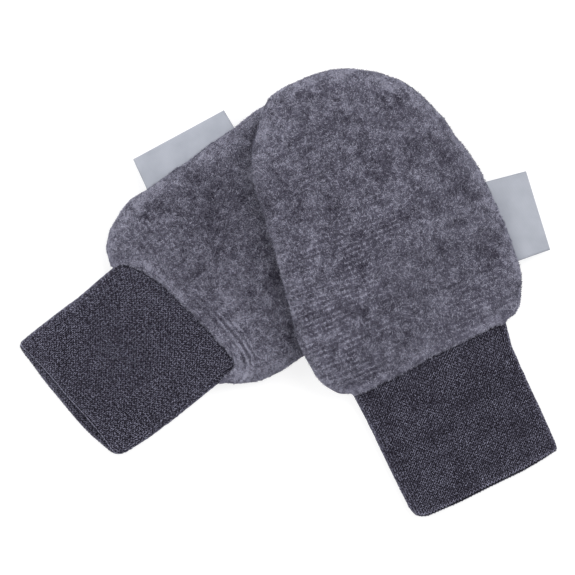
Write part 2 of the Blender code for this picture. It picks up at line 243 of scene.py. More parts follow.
LOWER = SimpleNamespace(
    name="lower",
    middle_of_mouth=(-65.3, -31.4),
    turn=-50,
    # None: the cuff seam reaches past this row on the right
    hand=(
        (36.6, -27, None), (38.8, -29.1, 27.1), (41.4, -30.9, 29.6), (44.5, -32.2, 31.7),
        (47.8, -33.3, 33.2), (51.8, -33.9, 34.2), (58, -33.2, 35.2), (72, -32.1, 36),
        (85, -31, 35.3), (98, -30.2, 32.6), (110, -27, 29), (120, -21, 23),
        (127.5, -13, 14.5),
    ),
    tip=(0.6, 131.6),
    seam=(
        (-22.3, 34.7), (-21.6, 37.7), (-19, 39.8), (-14.8, 41.8), (-8.3, 43.7),
        (0, 44.7), (8, 45.5), (15.9, 45.7), (21, 45.6), (23.9, 44.9),
        (25.6, 43.35), (26.2, 41.4), (26.05, 39.4), (25.4, 36.7),
    ),
    overlap=((17, 1.1), (21, 0.9), (24, 0.7), (25.6, 0.5)),
    fan_centre=(1, 97),
    cuff=(
        (0, -22.4, 23.4), (9, -22.35, 24.5), (18.6, -21.95, 24.95), (26, -21.55, 25.1),
        (34, -21.6, 25.25), (39, -21.65, 25.35), (44, -21.7, 25.8),
    ),
    mouth=(
        (-22.4, -1.4, -1.6), (-19.5, -1.2, -2.2), (-16, -0.8, -2.4), (-8, -0.5, -2.85),
        (0, -0.5, -2.9), (6, -0.2, -2.9), (12, -0.1, -2.55), (16, -0.2, -1.95),
        (20, -0.6, -1.35), (23.4, -0.9, -0.9),
    ),
    mouth_corners=(1.3, 3.8),
    label=((-32.6, 57.7), (-30.9, 89.8), (-42.6, 60.4), (-36.4, 90.7)),
    label_droop=1.6,
    rows=((-22, 0.1), (-8, 0.35), (4, 0.8), (14, 1), (26, 1)),
    # the felt's own mottling, a painted shadow beside the upper mitten's edge, and painted light right along
    # that edge
    mottle_and_shade=(
        (-4, 70, 9, -0.09), (11, 64.5, 8, -0.07), (24, 61.5, 7, -0.08),
        (29.5, 62, 5, -0.11), (20, 66, 5, -0.06), (-15, 74, 7, -0.07),
        (-7, 83, 6, 0.04), (5, 75, 7, 0.045), (-24, 88, 6, 0.04),
        (-4, 49, 8, 0.07), (17, 50, 10, 0.095), (25.8, 38, 2.5, -0.12),
        (29, 49, 7, 0.08), (-20, 108, 10, 0.04), (-17, 86.5, 3, 0.2),
        (-11, 83.5, 3, 0.2), (-5, 80.5, 3, 0.2), (2, 77.5, 3, 0.14),
    ),
    leg_light=0.1,
    yarn=0.495,
    flecks=0.6,
    leg_apart=0.245,
    roll_light=0.17,
    felt=(
        (17, 80, 10, 0.45), (-6, 92, 9, 0.45), (-20, 50, 9, 0.4),
    ),
    rests_on=[],
    seed=300,
)


# Curves, distances and noise

def ease(low, high, value):
    """0 at low, 1 at high, level at both."""
    t = np.clip((np.asarray(value, float) - low) / (high - low), 0.0, 1.0)
    return t * t * (3.0 - 2.0 * t)


def fade(near, far, value):
    """1 at near, 0 at far, level at both."""
    return 1.0 - ease(near, far, value)


def swell(t):
    """A quarter round: rises upright from 0 and is level at 1."""
    t = np.clip(t, 0.0, 1.0)
    return np.sqrt(1.0 - (1.0 - t) ** 2)


def norm(vectors):
    return np.linalg.norm(vectors, axis=-1)


def unit(vectors):
    return vectors / np.maximum(norm(vectors)[..., None], 1e-9)


def smooth_path(points, per_span=16):
    """A centripetal Catmull-Rom curve through the points."""
    points = np.asarray(points, float)
    knots = np.concatenate([[0.0], np.cumsum(norm(np.diff(points, axis=0)) ** 0.5)])
    slopes = np.gradient(points, knots, axis=0)
    path = []
    for i in range(len(points) - 1):
        width = knots[i + 1] - knots[i]
        for t in np.arange(per_span) / per_span:
            a = 2 * t**3 - 3 * t**2 + 1
            b = t**3 - 2 * t**2 + t
            c = -2 * t**3 + 3 * t**2
            d = t**3 - t**2
            path.append(a * points[i] + b * width * slopes[i] + c * points[i + 1] + d * width * slopes[i + 1])
    path.append(points[-1])
    return np.array(path)


def lengths_along(path):
    return np.concatenate([[0.0], np.cumsum(norm(np.diff(path, axis=0)))])


def evenly(path, count):
    """Points at equal distances along a path."""
    lengths = lengths_along(path)
    stops = np.linspace(0.0, lengths[-1], count)
    return np.column_stack([np.interp(stops, lengths, line) for line in path.T])


def beside(path):
    """Unit directions square to a path, to its right."""
    heading = unit(np.gradient(path, axis=0))
    return np.column_stack([heading[:, 1], -heading[:, 0]])


def distance_to(path, points):
    """Shortest distance from each point to a path."""
    start = path[:-1][None]
    step = np.diff(path, axis=0)[None]
    flat = points.reshape(-1, 2)
    nearest = []
    for part in np.array_split(flat, max(1, len(flat) // AT_ONCE)):
        along = ((part[:, None] - start) * step).sum(2) / np.maximum((step**2).sum(2), 1e-12)
        foot = start + np.clip(along, 0.0, 1.0)[..., None] * step
        nearest.append(norm(part[:, None] - foot).min(axis=1))
    return np.concatenate(nearest).reshape(points.shape[:-1])


def is_inside(loop, points):
    """Whether each point lies inside a closed loop."""
    x, y = points[..., :1], points[..., 1:]
    x0, y0 = loop.T
    x1, y1 = np.roll(loop, -1, axis=0).T
    spans = (y0 > y) != (y1 > y)
    crossing = x0 + (y - y0) * (x1 - x0) / np.where(y1 == y0, 1e-12, y1 - y0)
    return (spans & (x < crossing)).sum(axis=-1) % 2 == 1


def turned(points, degrees):
    """Points turned about the origin, in plan."""
    angle = math.radians(degrees)
    c, s = math.cos(angle), math.sin(angle)
    return points @ np.array([[c, s], [-s, c]])


def noise(points, lump, seed):
    """Smooth noise from -1 to 1 in two or three dimensions, with lumps of this size."""
    cells = 32
    place = np.asarray(points, float) / lump
    sides = place.shape[-1]
    table = np.random.default_rng(seed).uniform(-1.0, 1.0, (cells,) * sides)
    base = np.floor(place).astype(int)
    t = place - base
    t = t * t * (3.0 - 2.0 * t)
    total = np.zeros(place.shape[:-1])
    for corner in np.ndindex(*(2,) * sides):
        share = np.prod(np.where(corner, t, 1.0 - t), axis=-1)
        total += share * table[tuple(((base + corner) % cells)[..., i] for i in range(sides))]
    return total


def noises(table, points, mitten):
    """The sum of the noises of a table."""
    return sum(amount * noise(points, lump, mitten.seed + own) for amount, lump, own in table)


def spots(table, points):
    """The sum of soft round spots: place, radius and strength of each."""
    total = np.zeros(points.shape[:-1])
    for across, along, radius, strength in table:
        away = norm(points[..., :2] - (across, along))
        total += strength * np.exp(-(away / radius) ** 2)
    return total


# The outlines of a mitten

def hand_edge(mitten):
    """The side seam in plan, from the cuff seam's left end round the tip to its right end."""
    left = [(row[1], row[0]) for row in mitten.hand]
    right = [(row[2], row[0]) for row in reversed(mitten.hand) if row[2] is not None]
    path = smooth_path([mitten.seam[0]] + left + [mitten.tip] + right + [mitten.seam[-1]])
    lengths = lengths_along(path)
    inset = PILE_REACH * ease(0.0, END_EASE, np.minimum(lengths, lengths[-1] - lengths))
    return path + inset[:, None] * beside(path)


def seam_along(mitten, across, gap=0.0):
    """How far along the cuff seam lies at a place across, or a line a gap short of it."""
    path = smooth_path(mitten.seam)
    path = path + gap * beside(path)
    return np.interp(across, np.maximum.accumulate(path[:, 0]), path[:, 1])


def to_cuff(mitten, points):
    """The way from hand to cuff, in plan, at the nearest place on the cuff seam."""
    path = evenly(smooth_path(mitten.seam), SEAM_POINTS)
    flat = points[..., :2].reshape(-1, 2)
    parts = np.array_split(flat, max(1, len(flat) // AT_ONCE))
    nearest = np.concatenate([np.argmin(norm(part[:, None] - path), axis=1) for part in parts])
    return beside(path)[nearest].reshape(*points.shape[:-1], 2)


def depth_in(mitten, points):
    """How far points lie inside a mitten's hand, in its own plan; below 0 outside."""
    edge = evenly(hand_edge(mitten), EDGE_POINTS)
    return distance_to(edge, points) * np.where(is_inside(edge, points), 1.0, -1.0)


def depth_in_other(mitten, other, points):
    """How far points of one mitten's frame lie inside the other's hand, in plan."""
    on_surface = turned(points[..., :2], mitten.turn) + mitten.middle_of_mouth
    return depth_in(other, turned(on_surface - other.middle_of_mouth, -other.turn))


def drape(mitten, points):
    """How far the lower mitten lifts the upper one, at points in its own frame."""
    if mitten is LOWER:
        return np.zeros(points.shape[:-1])
    depth = depth_in_other(UPPER, LOWER, points)
    return (HAND_HEIGHT + STACK_GAP) * ease(DRAPE_REACH[1], DRAPE_REACH[0], depth)


def in_frame(mitten, points):
    """Points of a mitten's own frame, in metres in the shared one."""
    plan = turned(points[..., :2], mitten.turn) + mitten.middle_of_mouth
    return np.concatenate([plan, points[..., 2:]], axis=-1) * MM


# Meshes

def grid_normals(grid, closed=False):
    """Unit normals of a grid: its first direction crossed with its second."""
    if closed:
        first = np.roll(grid, -1, axis=0) - np.roll(grid, 1, axis=0)
    else:
        first = np.gradient(grid, axis=0)
    return unit(np.cross(first, np.gradient(grid, axis=1)))


def grid_faces(rows, columns, start=0, closed=False):
    """Quads of a grid whose points are numbered row by row."""
    i, k = np.meshgrid(np.arange(rows if closed else rows - 1), np.arange(columns - 1), indexing="ij")
    n = (i + 1) % rows
    quads = np.stack([i * columns + k, n * columns + k, n * columns + k + 1, i * columns + k + 1], axis=-1)
    return quads.reshape(-1, 4) + start


def strip_faces(a, b):
    """Quads between two lines of point numbers."""
    return np.column_stack([a[:-1], a[1:], b[1:], b[:-1]])


def shell_faces(grid, closed=False):
    """Quads of a grid, of as many points on its other side, and of the rims between them."""
    rows, columns = grid.shape[:2]
    numbers = np.arange(rows * columns).reshape(rows, columns)
    if closed:
        rims = [np.append(numbers[:, end], numbers[0, end]) for end in (0, -1)]
    else:
        rims = [numbers[:, 0], numbers[0], numbers[-1]]
    sides = [grid_faces(rows, columns, start, closed) for start in (0, numbers.size)]
    return np.vstack(sides + [strip_faces(rim, rim + numbers.size) for rim in rims])


def add_object(name, data):
    made = bpy.data.objects.new(name, data)
    bpy.context.scene.collection.objects.link(made)
    return made


def make_piece(name, points, faces, finish):
    """A mesh object of points in metres and of faces that all have as many corners."""
    mesh = bpy.data.meshes.new(name)
    points = np.asarray(points, np.float32).reshape(-1, 3)
    faces = np.asarray(faces, np.int32)
    mesh.vertices.add(len(points))
    mesh.vertices.foreach_set("co", points.ravel())
    mesh.loops.add(faces.size)
    mesh.loops.foreach_set("vertex_index", faces.ravel())
    mesh.polygons.add(len(faces))
    mesh.polygons.foreach_set("loop_start", np.arange(0, faces.size, faces.shape[1], dtype=np.int32))
    mesh.update(calc_edges=True)
    mesh.shade_smooth()
    mesh.materials.append(finish)
    return add_object(name, mesh)


def close_seams(piece):
    """Joins points that lie on each other, and turns all faces outwards."""
    bm = bmesh.new()
    bm.from_mesh(piece.data)
    bmesh.ops.remove_doubles(bm, verts=bm.verts, dist=TOUCHING)
    bmesh.ops.recalc_face_normals(bm, faces=bm.faces)
    bm.to_mesh(piece.data)
    bm.free()


def set_shade(piece, values):
    """A shade for the material, stored at each point."""
    attribute = piece.data.attributes.new("shade", "FLOAT", "POINT")
    attribute.data.foreach_set("value", np.asarray(values, np.float32).ravel())


def set_map(piece, per_corner):
    """A map named for baking, which the pile's material reads its shade from."""
    layer = piece.data.uv_layers.new(name=MAP)
    layer.uv.foreach_set("vector", np.asarray(per_corner, np.float32).ravel())


def on_grid(values, i, k, u, v):
    """Values of a grid at places inside its cells."""
    if values.ndim == 3:
        u, v = u[:, None], v[:, None]
    low = values[i, k] * (1 - u) + values[i + 1, k] * u
    high = values[i, k + 1] * (1 - u) + values[i + 1, k + 1] * u
    return low * (1 - v) + high * v


# Hand panels

def rib_ends(mitten, starts):
    """Where each rib ends: on the middle line, or at the fan's centre."""
    last = len(starts) - 1
    centre = np.array(mitten.fan_centre)
    foot = np.array([0.0, seam_along(mitten, 0.0)])
    side_ribs = int(np.argmax(starts[:, 1] > centre[1]))
    order = np.arange(last + 1)
    step = np.minimum(np.minimum(order, last - order) / side_ribs, 1.0)
    return foot + step[:, None] * (centre - foot)


def off_chord(mitten, across):
    """The way to the cuff seam from the straight lines between its middle and its ends."""
    path = smooth_path(mitten.seam)
    lengths = lengths_along(path)
    middle = np.interp(0.0, path[:, 0], lengths)
    stops = (path[0, 0], 0.0, path[-1, 0])
    across = np.clip(across, stops[0], stops[-1])
    share = np.interp(across, stops, (0.0, middle, lengths[-1]))
    chord = np.interp(across, stops, (path[0, 1], seam_along(mitten, 0.0), path[-1, 1]))
    on_seam = [np.interp(share, lengths, path[:, i]) for i in (0, 1)]
    return np.stack([on_seam[0] - across, on_seam[1] - chord], axis=-1)


def panel_plan(mitten, nose, ribs, middle_stops):
    """Plan of a panel's skin, as a grid: a row for each rib, side seam first."""
    starts = evenly(hand_edge(mitten), ribs + 1)
    ends = rib_ends(mitten, starts)
    bends = 1.0 - np.cos(np.linspace(0.0, math.pi / 2, NOSE_STOPS))
    rim = np.concatenate([np.array(TURN_IN)[:, 0], nose * bends])
    middle = np.linspace(0.0, 1.0, middle_stops + 1)[1:]
    length = norm(ends - starts)[:, None]
    rims = np.repeat(rim[None], ribs + 1, axis=0)
    stops = np.concatenate([rims, nose + (length - nose) * middle], axis=1)
    plan = starts[:, None] + (stops / length)[..., None] * (ends - starts)[:, None]
    order = np.arange(ribs + 1)
    follow = fade(0.0, SEAM_RIBS * ribs / RIBS, np.minimum(order, ribs - order))
    return plan + follow[:, None, None] * off_chord(mitten, plan[..., 0])


def front_heights(from_edge, from_seam):
    """Heights of the front: sunk in its middle, rolled down towards the cuff."""
    sink = MIDDLE_SINK * ease(*SINK_REACH, from_edge)
    roll = CUFF_ROLL * fade(0.0, ROLL_REACH, from_seam)
    lip = LIP_DROP * (1.0 - swell(from_seam / LIP_REACH))
    return HAND_HEIGHT - np.maximum(sink, roll) - lip


def cuff_top(mitten, across):
    """How high the cuff stands at the cuff seam, at a place across: round at its sides."""
    left, right = mitten.cuff[-1][1:]
    radius = CUFF_SEAM_HEIGHT / 2.0
    past = np.maximum(left + radius - across, across - (right - radius))
    past = np.clip(past, 0.0, 0.95 * radius)
    return radius + np.sqrt(radius**2 - past**2)


def hug_cuff(mitten, plan, heights, from_seam):
    """How far the front comes down to the cuff's round sides, near the cuff seam."""
    top = cuff_top(mitten, plan[..., 0])
    lowest = np.maximum(top + HUG_GAP, SIDE_SEAM_HEIGHT + SEAM_BAND + HUG_MARGIN)
    at_side = ease(0.0, HUG_SIDE, CUFF_SEAM_HEIGHT - top)
    return at_side * np.maximum(heights - lowest, 0.0) * fade(0.0, HUG_REACH, from_seam)


def over_cuff(mitten, plan, from_edge, from_seam):
    """How far the front reaches over the cuff, and how far it rises to do so."""
    near = fade(0.0, LIP_REACH, from_seam)
    reach = np.interp(plan[..., 0], *np.array(mitten.overlap).T)
    reach *= 1.0 + noises(LIP_UNEVEN, plan, mitten)
    reach *= near * ease(0.0, 0.6, from_edge)
    return reach, LIP_RISE * near * ease(0.5, 3.0, from_edge)


def hand_skin(mitten, side, ribs, middle_stops):
    """The outside of a panel: points, and their distances to the edge and the cuff seam."""
    nose = FRONT_NOSE if side > 0 else BACK_NOSE
    plan = panel_plan(mitten, nose, ribs, middle_stops)
    from_edge = distance_to(evenly(hand_edge(mitten), EDGE_POINTS), plan)
    from_seam = distance_to(smooth_path(mitten.seam), plan)
    band = SIDE_SEAM_HEIGHT + side * SEAM_BAND
    level = front_heights(from_edge, from_seam) if side > 0 else 0.0
    heights = band + (level - band) * swell(from_edge / nose)
    if side > 0:
        heights -= hug_cuff(mitten, plan, heights, from_seam)
    turns = np.array(TURN_IN)
    heights[:, :len(turns)] = SIDE_SEAM_HEIGHT + side * turns[:, 1]
    heights += drape(mitten, plan)
    from_edge[:, :len(turns)] = 0.0
    loose = RIM_WOBBLE * fade(0.0, 6.0, from_edge) * ease(0.0, 5.0, from_seam)
    wobble = [noise(plan, RIM_LUMP, mitten.seed + own) for own in (5, 6)]
    plan += loose[..., None] * np.stack(wobble, axis=-1)
    if side > 0:
        reach, rise = over_cuff(mitten, plan, from_edge, from_seam)
        plan += reach[..., None] * to_cuff(mitten, plan)
        heights += rise
    return np.dstack([plan, heights]), from_edge, from_seam


def corner_distance(mitten, points):
    """How far points lie from the nearer end of the cuff seam, in plan."""
    return np.minimum(*(norm(points[..., :2] - mitten.seam[end]) for end in (0, -1)))


def corner_normals(mitten, side, grid, normals):
    """Normals that fan out near the ends of the cuff seam, where the grid is skewed."""
    middle = np.array(mitten.fan_centre)
    for end in (mitten.seam[0], mitten.seam[-1]):
        centre = end + CORNER_INSIDE * unit(middle - end)
        height = SIDE_SEAM_HEIGHT + drape(mitten, centre) - side
        fan = unit(grid - (*centre, height))
        near = fade(*CORNER_REACH, norm(grid[..., :2] - end))
        normals = unit(normals + near[..., None] * (fan - normals))
    return normals


def panel_normals(mitten, side, grid, from_edge, resting):
    """Outward normals of a panel, upright where it rests or its grid is folded."""
    normals = grid_normals(grid) * -side
    normals[:, -1] = (0.0, 0.0, side)
    normals = corner_normals(mitten, side, grid, normals)
    folded = (normals[..., 2] * side < 0.0) & (from_edge > 1.0)
    normals[resting | folded] = (0.0, 0.0, side)
    return normals


def seam_rows(mitten, points, from_seam):
    """Knit rows along the cuff seam: -1 in a groove to 1 on a ridge, and how clearly they show."""
    none, first, clear_to, none_again = ROW_REACH
    drift = noises(ROW_DRIFT, points, mitten)
    wave = -np.cos(math.tau * ((from_seam - first) / SEAM_ROW + drift))
    reach = ease(none, first, from_seam) * fade(clear_to, none_again, from_seam)
    across, strength = np.array(mitten.rows).T
    worn = np.clip(0.85 + noises(ROW_WEAR, points, mitten), 0.3, 1.1)
    clear = reach * np.interp(points[..., 0], across, strength) * worn
    return wave * clear, clear


def felt_rows(mitten, points):
    """The knit under the felt: how light it is, lighter on its rows and with painted shade in its stitch
    holes, and how deep those holes are.
    """
    tilt = math.radians(FELT_TURN)
    along = points[..., 1] * math.cos(tilt) + points[..., 0] * math.sin(tilt)
    row = np.cos(math.tau * (along / FELT_ROW + noises(FELT_DRIFT, points, mitten)))
    stitch = np.cos(math.tau * (points[..., 0] / FELT_WALE + noises(WALE_DRIFT, points, mitten)))
    worn = np.clip(0.65 + noises(FELT_WEAR, points, mitten), 0.0, 1.3)
    clear = spots(mitten.felt, points) * worn
    hole = 0.25 * (1.0 - row) * (1.0 - stitch)
    return clear * (0.5 * row + 0.25 - hole), clear * hole


def painted_rim_light(mitten, points, from_edge, from_seam):
    """Painted highlight: how much lighter the fleece is painted along its edges and on the roll at the cuff,
    less where the upper mitten's rim lies over the lower one.
    """
    rim = RIM_LIGHT * fade(*RIM_LIGHT_REACH, from_edge)
    if mitten is UPPER:
        rim *= 1.0 - OVER_SHADE * ease(*OVER_REACH, depth_in_other(UPPER, LOWER, points))
    uneven = 1.0 + noises(ROLL_UNEVEN, points, mitten)
    roll = mitten.roll_light * uneven * fade(*ROLL_LIGHT_REACH, from_seam)
    return np.maximum(rim, roll)


def ground_relief(mitten, side, grid, from_edge, whole, rows):
    """The ground's lumps and knit rows, less its depth in the pile."""
    free = ease(0.0, FREE_REACH, from_edge) * whole
    if side < 0:
        free *= fade(1.5, 3.5, from_edge)
    depth = PILE * whole * (0.5 + 0.5 * ease(0.0, 2.0, from_edge))
    depth[:, :len(TURN_IN)] = 0.0
    return (noises(LUMPS, grid, mitten) + 0.5 * ROW_HEIGHT * rows) * free - depth


def pile_length(from_edge, from_seam, whole, clear):
    """How long the pile is, as a share: short at edges and on knit rows."""
    at_edge = 0.9 + 0.1 * ease(0.0, 3.0, from_edge)
    at_seam = 0.6 + 0.4 * ease(0.0, 3.0, from_seam)
    return at_edge * at_seam * (1.0 - 0.45 * clear) * (0.6 + 0.4 * whole)


def fleece_ground(mitten, side, finish):
    """A fleece panel's thin shell, lumpy under its pile, and what its pile needs."""
    ribs, middle = (RIBS, MIDDLE_STOPS) if side > 0 else (BACK_RIBS, BACK_MIDDLE_STOPS)
    grid, from_edge, from_seam = hand_skin(mitten, side, ribs, middle)
    resting = (from_edge > BACK_NOSE) & (side < 0)
    normals = panel_normals(mitten, side, grid, from_edge, resting)
    whole = ease(*CORNER_CALM, corner_distance(mitten, grid))
    rows, clear = seam_rows(mitten, grid, from_seam)
    relief = ground_relief(mitten, side, grid, from_edge, whole, rows)
    outer = grid + normals * relief[..., None]
    outer[resting] = grid[resting]
    inner = outer - normals * (FLEECE_SHELL * (0.15 + 0.85 * whole))[..., None]
    points = np.stack([outer, inner])
    points[..., 2] = np.maximum(points[..., 2], 0.0)
    name = mitten.name + ("_hand_front" if side > 0 else "_hand_back") + "_fleece"
    piece = make_piece(name, in_frame(mitten, points), shell_faces(grid), finish)
    # painted light and shade: the rows' ridges and grooves, the rim's highlight, and the mottling's painted
    # shadow and light
    light = ROW_LIGHT * rows + painted_rim_light(mitten, grid, from_edge, from_seam)
    light += spots(mitten.mottle_and_shade, grid)
    shade = GROUND_SHADE + noises(MELANGE, points, mitten)
    shade[0] += light
    set_shade(piece, shade)
    close_seams(piece)
    length = pile_length(from_edge, from_seam, whole, clear)
    return piece, SimpleNamespace(grid=outer, normals=normals, edge=from_edge, seam=from_seam,
                                  light=light, length=length, rows=clear)


def scatter(grid, weight, count, rng):
    """Random places on a grid, by area and weight: cells, and places in them."""
    area = 0.5 * norm(np.cross(grid[1:, 1:] - grid[:-1, :-1], grid[1:, :-1] - grid[:-1, 1:]))
    share = (area * weight[:-1, :-1]).ravel()
    cells = rng.choice(len(share), count, p=share / share.sum())
    i, k = np.divmod(cells, area.shape[1])
    return i, k, rng.random(count), rng.random(count)


def fibre_hang(skin, places, cuffwards):
    """Where fibres are drawn: over the cuff near its seam, and along the knit rows."""
    fringe = (on_grid(skin.seam, *places) < FRINGE_REACH)[:, None]
    down = np.full(len(cuffwards), FRINGE_HANG[1])
    hang = fringe * np.column_stack([FRINGE_HANG[0] * cuffwards, down])
    along_rows = np.column_stack([-cuffwards[:, 1], cuffwards[:, 0]])
    hang[:, :2] += ROW_COMB * on_grid(skin.rows, *places)[:, None] * along_rows
    return hang


def fibre_lines(mitten, skin, places, rng):
    """Root, middle and tip of each fibre, and a direction across it."""
    count = len(places[0])
    root = on_grid(skin.grid, *places)
    up = unit(on_grid(skin.normals, *places))
    root = root - (HOLE_DEPTH * felt_rows(mitten, root)[1])[:, None] * up
    turn = noises(FIBRE_SWIRL, root, mitten) + rng.normal(0.0, FIBRE_TURN, count)
    side_a = unit(np.cross(up, PROBE))
    side_b = np.cross(up, side_a)

    def lay_at(angle):
        return side_a * np.cos(angle)[:, None] + side_b * np.sin(angle)[:, None]

    hang = fibre_hang(skin, places, to_cuff(mitten, root))
    lay = unit(lay_at(turn) + hang)
    lay_tip = unit(lay_at(turn + rng.normal(0.0, FIBRE_BEND, count)) + hang)
    length = (rng.uniform(*FIBRE_LENGTH, count) * on_grid(skin.length, *places))[:, None]
    rise = np.radians(rng.uniform(*FIBRE_RISE, count))[:, None]
    fall = np.radians(rng.uniform(*FIBRE_FALL, count))[:, None]
    middle = root + 0.5 * length * (np.cos(rise) * lay + np.sin(rise) * up)
    tip = middle + 0.5 * length * (np.cos(fall) * lay_tip + np.sin(fall) * up)
    twist = np.radians(rng.uniform(-FIBRE_TWIST, FIBRE_TWIST, count))[:, None]
    across = np.cos(twist) * unit(np.cross(up, lay)) + np.sin(twist) * up
    return root, middle, tip, across


def pile(mitten, name, skin, weight, count, finish, seed):
    """The brushed pile: many short curled fibres, each with its own shade."""
    rng = np.random.default_rng(seed)
    places = scatter(skin.grid, weight, count, rng)
    root, middle, tip, across = fibre_lines(mitten, skin, places, rng)
    wide = 0.5 * rng.uniform(*FIBRE_WIDTH, count)[:, None] * across
    points = np.stack([root, middle + wide, middle - wide, tip], axis=1)
    points[..., 2] = np.maximum(points[..., 2], LOWEST)
    start = 4 * np.arange(count)[:, None]
    faces = np.concatenate([start + (0, 1, 2), start + (2, 1, 3)], axis=1).reshape(-1, 3)
    piece = make_piece(name, in_frame(mitten, points), faces, finish)
    own = noises(MELANGE, root, mitten) + rng.uniform(*FIBRE_SHADES, count)
    shade = PILE_SHADE + (1.0 - 0.5 * on_grid(skin.rows, *places)) * own
    # the painted light and shade of the ground, and painted shade in the felt's stitch holes
    shade += on_grid(skin.light, *places) + FELT_LIGHT * felt_rows(mitten, middle)[0]
    set_map(piece, fibre_map(np.clip(shade, 0.0, 1.0)))
    return piece


def fibre_map(shade):
    """Each fibre's corners on its map: its shade across, its length along."""
    count = len(shade)
    across = np.tile((0.5, 1.0, 0.0, 0.0, 1.0, 0.5), (count, 1)) * 0.012
    along = np.tile((0.0, 0.5, 0.5, 0.5, 0.5, 1.0), (count, 1))
    return np.stack([(0.01 + 0.96 * shade)[:, None] + across, 0.02 + 0.96 * along], axis=-1)


# Cuffs

def flat_tube(left, right, height, inset):
    """Section of a flat tube with round sides, moved in: across and height of each stop."""
    radius = height / 2.0
    stops = np.linspace(0.0, 1.0, CUFF_ACROSS)
    across = left + radius + stops * (right - left - 2.0 * radius)
    arc = np.radians(np.linspace(90.0, -90.0, CUFF_ROUND + 2)[1:-1])
    reach = radius - inset
    top = np.column_stack([across, np.full(CUFF_ACROSS, height - inset)])
    side = np.column_stack([right - radius + reach * np.cos(arc), radius + reach * np.sin(arc)])
    half = np.vstack([top, side])
    return np.vstack([half, (left + right, height) - half])


def mouth_along(mitten, across, below):
    """Where the mouth's edge lies: rounded at its corners, the under layer a little longer."""
    rows = smooth_path(mitten.mouth)
    upper, under = (np.interp(across, rows[:, 0], rows[:, i]) for i in (1, 2))
    line = upper + below * (under - upper)
    left, right = mitten.cuff[0][1:]
    for edge, radius in zip((across - left, right - across), mitten.mouth_corners):
        rest = radius - np.clip(edge, 0.0, radius)
        line += radius - np.sqrt(radius**2 - rest**2)
    return line


def cuff_ring(mitten, share, inset, ahead):
    """A ring of the cuff: at a share of the way to the seam, a depth in the wall, a step ahead."""
    table = np.array(mitten.cuff)
    length = seam_along(mitten, 0.0)
    left, right = (np.interp(share * length, table[:, 0], table[:, i]) for i in (1, 2))
    height = MOUTH_HEIGHT + (CUFF_SEAM_HEIGHT - MOUTH_HEIGHT) * ease(*CUFF_SWELL, share)
    section = flat_tube(left, right, height, inset)
    below = np.clip((height / 2.0 - section[:, 1]) / (height / 2.0 - JERSEY), 0.0, 1.0)
    start = mouth_along(mitten, section[:, 0], below)
    end = seam_along(mitten, section[:, 0], SEAM_GAP)
    plan = np.column_stack([section[:, 0], start + share * (end - start) + ahead])
    return np.column_stack([plan, section[:, 1] + drape(mitten, plan)])


def cuff_skin(mitten):
    """The cuff's skin as a grid: round the tube, from the seam over the fold into the mouth."""
    inset = STITCH_HEIGHT
    depth = JERSEY - 2.0 * inset
    stops = [(share, inset, 0.0) for share in np.linspace(1.0, FOLD_SHARE, CUFF_ALONG)]
    for angle in np.linspace(0.0, math.pi, FOLD_STOPS + 2)[1:-1]:
        stops.append((0.0, inset + depth * (1.0 - math.cos(angle)) / 2.0,
                      inset + depth / 2.0 * (1.0 - math.sin(angle))))
    stops += [(share, JERSEY - inset, 0.0) for share in np.linspace(FOLD_SHARE, INSIDE_SHARE, INSIDE_STOPS)]
    grid = np.swapaxes([cuff_ring(mitten, *stop) for stop in stops], 0, 1)
    return grid + grid_normals(grid, True) * noises(CUFF_UNEVEN, grid, mitten)[..., None]


def cuff_ground(mitten, grid, finish):
    """The jersey under its stitches: a thin shell round the tube and over the fold."""
    inner = grid + grid_normals(grid, True) * JERSEY_SHELL
    points = np.stack([grid, inner])
    faces = shell_faces(grid, closed=True)
    piece = make_piece(mitten.name + "_cuff_jersey", in_frame(mitten, points), faces, finish)
    close_seams(piece)
    return piece


# Half a knit stitch, as a plump leaf 1 long and 1 high: across, along, height, shade of each point
# the shades are painted shade and highlight: darker at the leaf's edges and ends, lighter along its ridge
LEG_POINTS = np.array([
    (0.0, -0.5, 0.5, -0.08),
    (-0.44, -0.24, 0.0, -0.17), (0.0, -0.24, 0.9, 0.08), (0.44, -0.24, 0.0, -0.17),
    (-0.5, 0.14, 0.0, -0.11), (0.0, 0.14, 1.0, 0.14), (0.5, 0.14, 0.0, -0.11),
    (0.0, 0.5, 0.6, -0.08),
])
LEG_FACES = ((0, 2, 1), (0, 3, 2), (1, 2, 5), (1, 5, 4), (2, 3, 6), (2, 6, 5), (4, 5, 7), (5, 6, 7))
LEG_WIDTH = 0.28  # mm
LEG_LENGTH = 1.24
LEG_TILT = 18.0  # degrees, and how much it varies
LEG_TILT_VARIES = 7.0
LEG_SIZE_VARIES = 0.05
LEG_STRAYS = 0.035
FOLD_REACH = 1.0  # stitches lie flatter this near the fold, and inside the tube
YARN_VARIES = 0.04
LEG_VARIES = 0.03
# painted highlight on the fold, and painted light on the inside of the tube, which lies in shade
FOLD_LIGHT = 0.27  # how much lighter the fold is, and the inside of the tube
INSIDE_LIGHT = 0.12
PALE_SHARE = 0.02  # share of pale stitches, and how much lighter they are
PALE_LIGHT = (0.1, 0.3)


